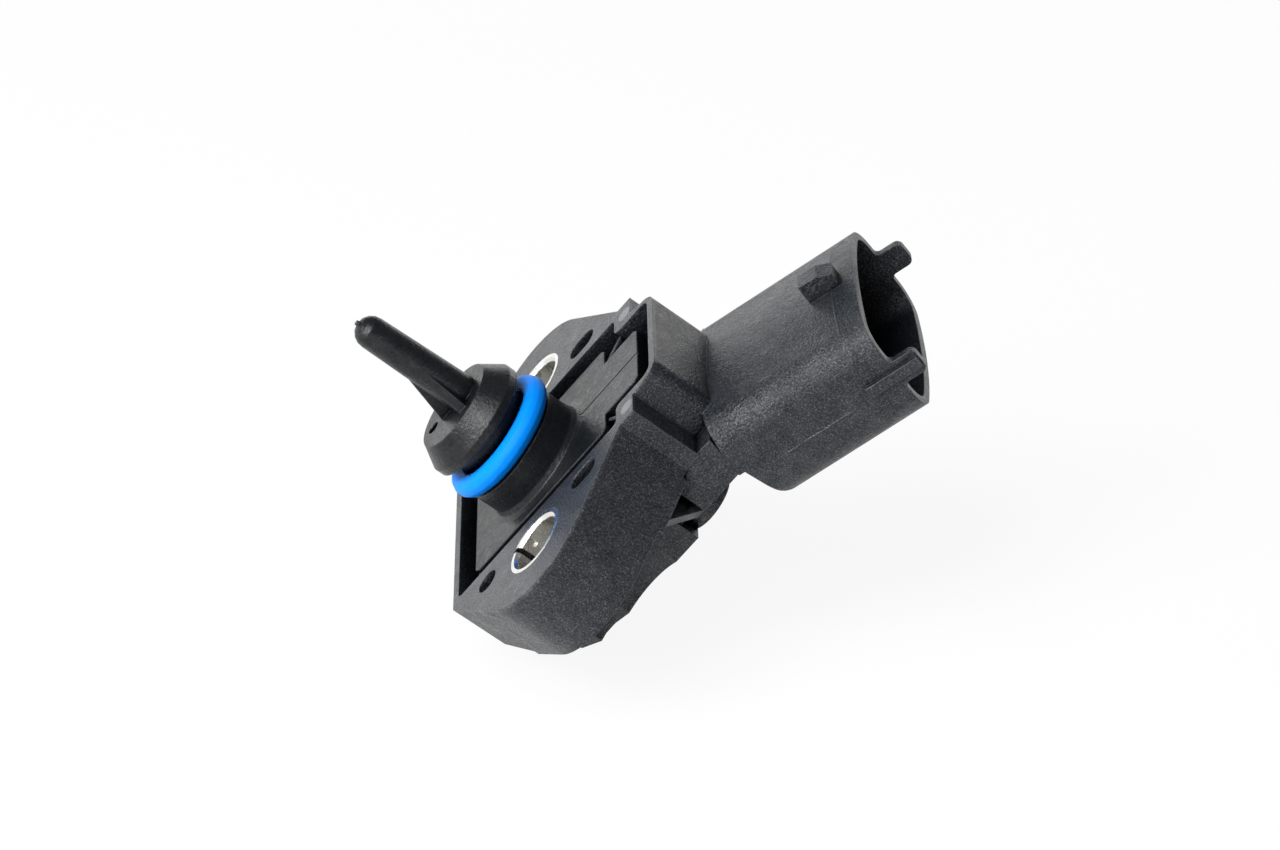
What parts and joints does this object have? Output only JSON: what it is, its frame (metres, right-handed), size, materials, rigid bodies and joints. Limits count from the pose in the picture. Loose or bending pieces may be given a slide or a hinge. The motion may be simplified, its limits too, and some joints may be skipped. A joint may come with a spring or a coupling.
{
  "type": "fuel pressure sensor",
  "caption": "Flange-mounted fuel pressure sensor with an O-ring port, a finned temperature probe and a slanted plug connector shroud, in black moulded plastic.",
  "frame": {"origin": "on the port axis in the plane of the flange's port-side face, midway between the two bolt axes", "axes": "+Z along the port axis away from the port, towards the rear cover; +Y towards the connector; X from bolt to bolt"},
  "size_m": [0.0528, 0.0565, 0.0531],
  "materials": {
    "housing_plastic": "spark-eroded grain",
    "insert_plastic": "fine grain",
    "ring_rubber": "smooth",
    "bushing_steel": "zinc plated",
    "glue": "cured silicone",
    "bead_glass": "glass coated",
    "lead_wire": "drawn",
    "cell_ceramic": "fired",
    "cell_steel": "drawn",
    "pedestal_glass": "ground",
    "silicon": "polished",
    "gel": "soft",
    "board_laminate": "solder mask",
    "chip_plastic": "moulded",
    "capacitor_ceramic": "fired",
    "terminal_metal": "tin plated",
    "cover_plastic": "moulded"
  },
  "bodies": {
    "root": {"housing": "housing_plastic", "port_insert": "insert_plastic", "o_ring": "ring_rubber", "bushing_left": "bushing_steel", "bushing_right": "bushing_steel", "insert_seal": "glue", "thermistor_bead": "bead_glass", "thermistor_lead_left": "lead_wire", "thermistor_lead_right": "lead_wire", "cell_base": "cell_ceramic", "cell_ring": "cell_steel", "glass_pedestal": "pedestal_glass", "silicon_chip": "silicon", "gel_fill": "gel", "circuit_board": "board_laminate", "signal_chip": "chip_plastic", "capacitor_1": "capacitor_ceramic", "capacitor_2": "capacitor_ceramic", "capacitor_3": "capacitor_ceramic", "terminal_1": "terminal_metal", "terminal_2": "terminal_metal", "terminal_3": "terminal_metal", "terminal_4": "terminal_metal", "cover_seal": "glue", "rear_cover": "cover_plastic"}
  },
  "joints": []
}
